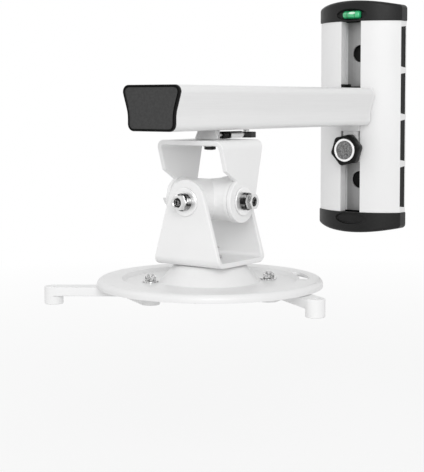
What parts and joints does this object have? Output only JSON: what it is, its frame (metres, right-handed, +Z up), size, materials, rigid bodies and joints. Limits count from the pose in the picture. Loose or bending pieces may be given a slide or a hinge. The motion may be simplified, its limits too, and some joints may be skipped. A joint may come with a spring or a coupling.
{
  "type": "projector wall mount",
  "caption": "Wall rail with a clamped carriage, a horizontal arm and a sliding cross-jointed head that carries a round plate with swinging legs for a projector.",
  "frame": {"origin": "middle of the rail's back face, halfway between its two wall screw holes", "axes": "+Y into the wall, so the arm reaches towards -Y; +Z up along the rail; +X to the right seen from the room"},
  "size_m": [0.2518, 0.4005, 0.2968],
  "materials": {
    "rail_white": "white powder coat, satin",
    "cast_white": "white powder coat, satin",
    "arm_silver": "pearl white anodised, satin",
    "white_steel": "white powder coat, semi-gloss",
    "black_plastic": "black, fine texture",
    "knob_plastic": "black, smooth",
    "knob_grey": "grey, coarse texture",
    "vial_green": "clear green",
    "zinc_steel": "zinc plated",
    "washer_zinc": "pale zinc plated",
    "bright_chrome": "bright plated",
    "black_steel": "blackened"
  },
  "bodies": {
    "rail": {"wall_rail": "rail_white", "top_cap": "black_plastic", "bottom_cap": "black_plastic", "level_vial": "vial_green", "left_liner": "black_plastic", "right_liner": "black_plastic"},
    "carriage": {"carriage_block": "cast_white", "carriage_glide": "black_plastic", "clamp_pad": "black_plastic", "arm_screws": "zinc_steel", "arm_tube": "arm_silver", "arm_end_cap": "black_plastic"},
    "knob": {"clamp_knob": "knob_plastic", "clamp_screw": "zinc_steel", "knob_ring": "bright_chrome", "knob_disc": "knob_grey"},
    "slider": {"arm_shoe": "cast_white", "pan_bolt": "zinc_steel", "pan_washer": "zinc_steel", "pan_nut": "black_steel", "adjuster_rod": "zinc_steel", "adjuster_sleeve": "zinc_steel", "adjuster_nuts": "black_steel", "stop_block": "black_steel", "stop_bolt": "zinc_steel"},
    "upper_fork": {"upper_yoke": "white_steel"},
    "cross": {"cross_tube": "white_steel", "cross_plugs": "zinc_steel", "tilt_bolts": "zinc_steel", "tilt_washers": "washer_zinc", "tilt_sleeves": "bright_chrome", "tilt_nuts": "bright_chrome", "roll_bolts": "zinc_steel", "roll_washers": "washer_zinc", "roll_sleeves": "bright_chrome", "roll_nuts": "bright_chrome"},
    "lower_fork": {"lower_yoke": "white_steel"},
    "plate": {"base_plate": "white_steel", "turn_bolt": "zinc_steel", "turn_washer": "zinc_steel", "turn_nut": "zinc_steel", "leg_screws": "zinc_steel", "leg_washers": "bright_chrome", "leg_nuts": "bright_chrome"},
    "left_upper": {"left_upper_leg": "white_steel"},
    "left_lower": {"left_lower_leg": "white_steel"},
    "right_upper": {"right_upper_leg": "white_steel"},
    "right_lower": {"right_lower_leg": "white_steel"}
  },
  "joints": [
    {"name": "lift", "type": "slide", "parent": "rail", "child": "carriage", "axis": [0, 0, 1], "range_m": [-0.045, 0.062]},
    {"name": "clamp_turn", "type": "hinge", "parent": "carriage", "child": "knob", "pos_m": [0, -0.042, -0.036], "axis": [0, 1, 0], "continuous": true},
    {"name": "reach", "type": "slide", "parent": "carriage", "child": "slider", "axis": [0, 1, 0], "range_m": [-0.06, 0.1]},
    {"name": "pan", "type": "hinge", "parent": "slider", "child": "upper_fork", "pos_m": [0, -0.296, -0.018], "axis": [0, 0, 1], "continuous": true},
    {"name": "tilt", "type": "hinge", "parent": "upper_fork", "child": "cross", "pos_m": [0, -0.296, -0.0732], "axis": [1, 0, 0], "range_deg": [-20, 20]},
    {"name": "roll", "type": "hinge", "parent": "cross", "child": "lower_fork", "pos_m": [0, -0.296, -0.0732], "axis": [0, 1, 0], "range_deg": [-20, 20]},
    {"name": "turn", "type": "hinge", "parent": "lower_fork", "child": "plate", "pos_m": [0, -0.296, -0.132], "axis": [0, 0, 1], "continuous": true},
    {"name": "left_upper_swing", "type": "hinge", "parent": "plate", "child": "left_upper", "pos_m": [-0.03924, -0.33524, -0.1535], "axis": [0, 0, 1], "range_deg": [-20, 40]},
    {"name": "left_lower_swing", "type": "hinge", "parent": "plate", "child": "left_lower", "pos_m": [-0.03924, -0.33524, -0.1618], "axis": [0, 0, 1], "range_deg": [-35, 20]},
    {"name": "right_upper_swing", "type": "hinge", "parent": "plate", "child": "right_upper", "pos_m": [0.03924, -0.25676, -0.1535], "axis": [0, 0, 1], "range_deg": [-40, 20]},
    {"name": "right_lower_swing", "type": "hinge", "parent": "plate", "child": "right_lower", "pos_m": [0.03924, -0.25676, -0.1618], "axis": [0, 0, 1], "range_deg": [-40, 40]}
  ]
}
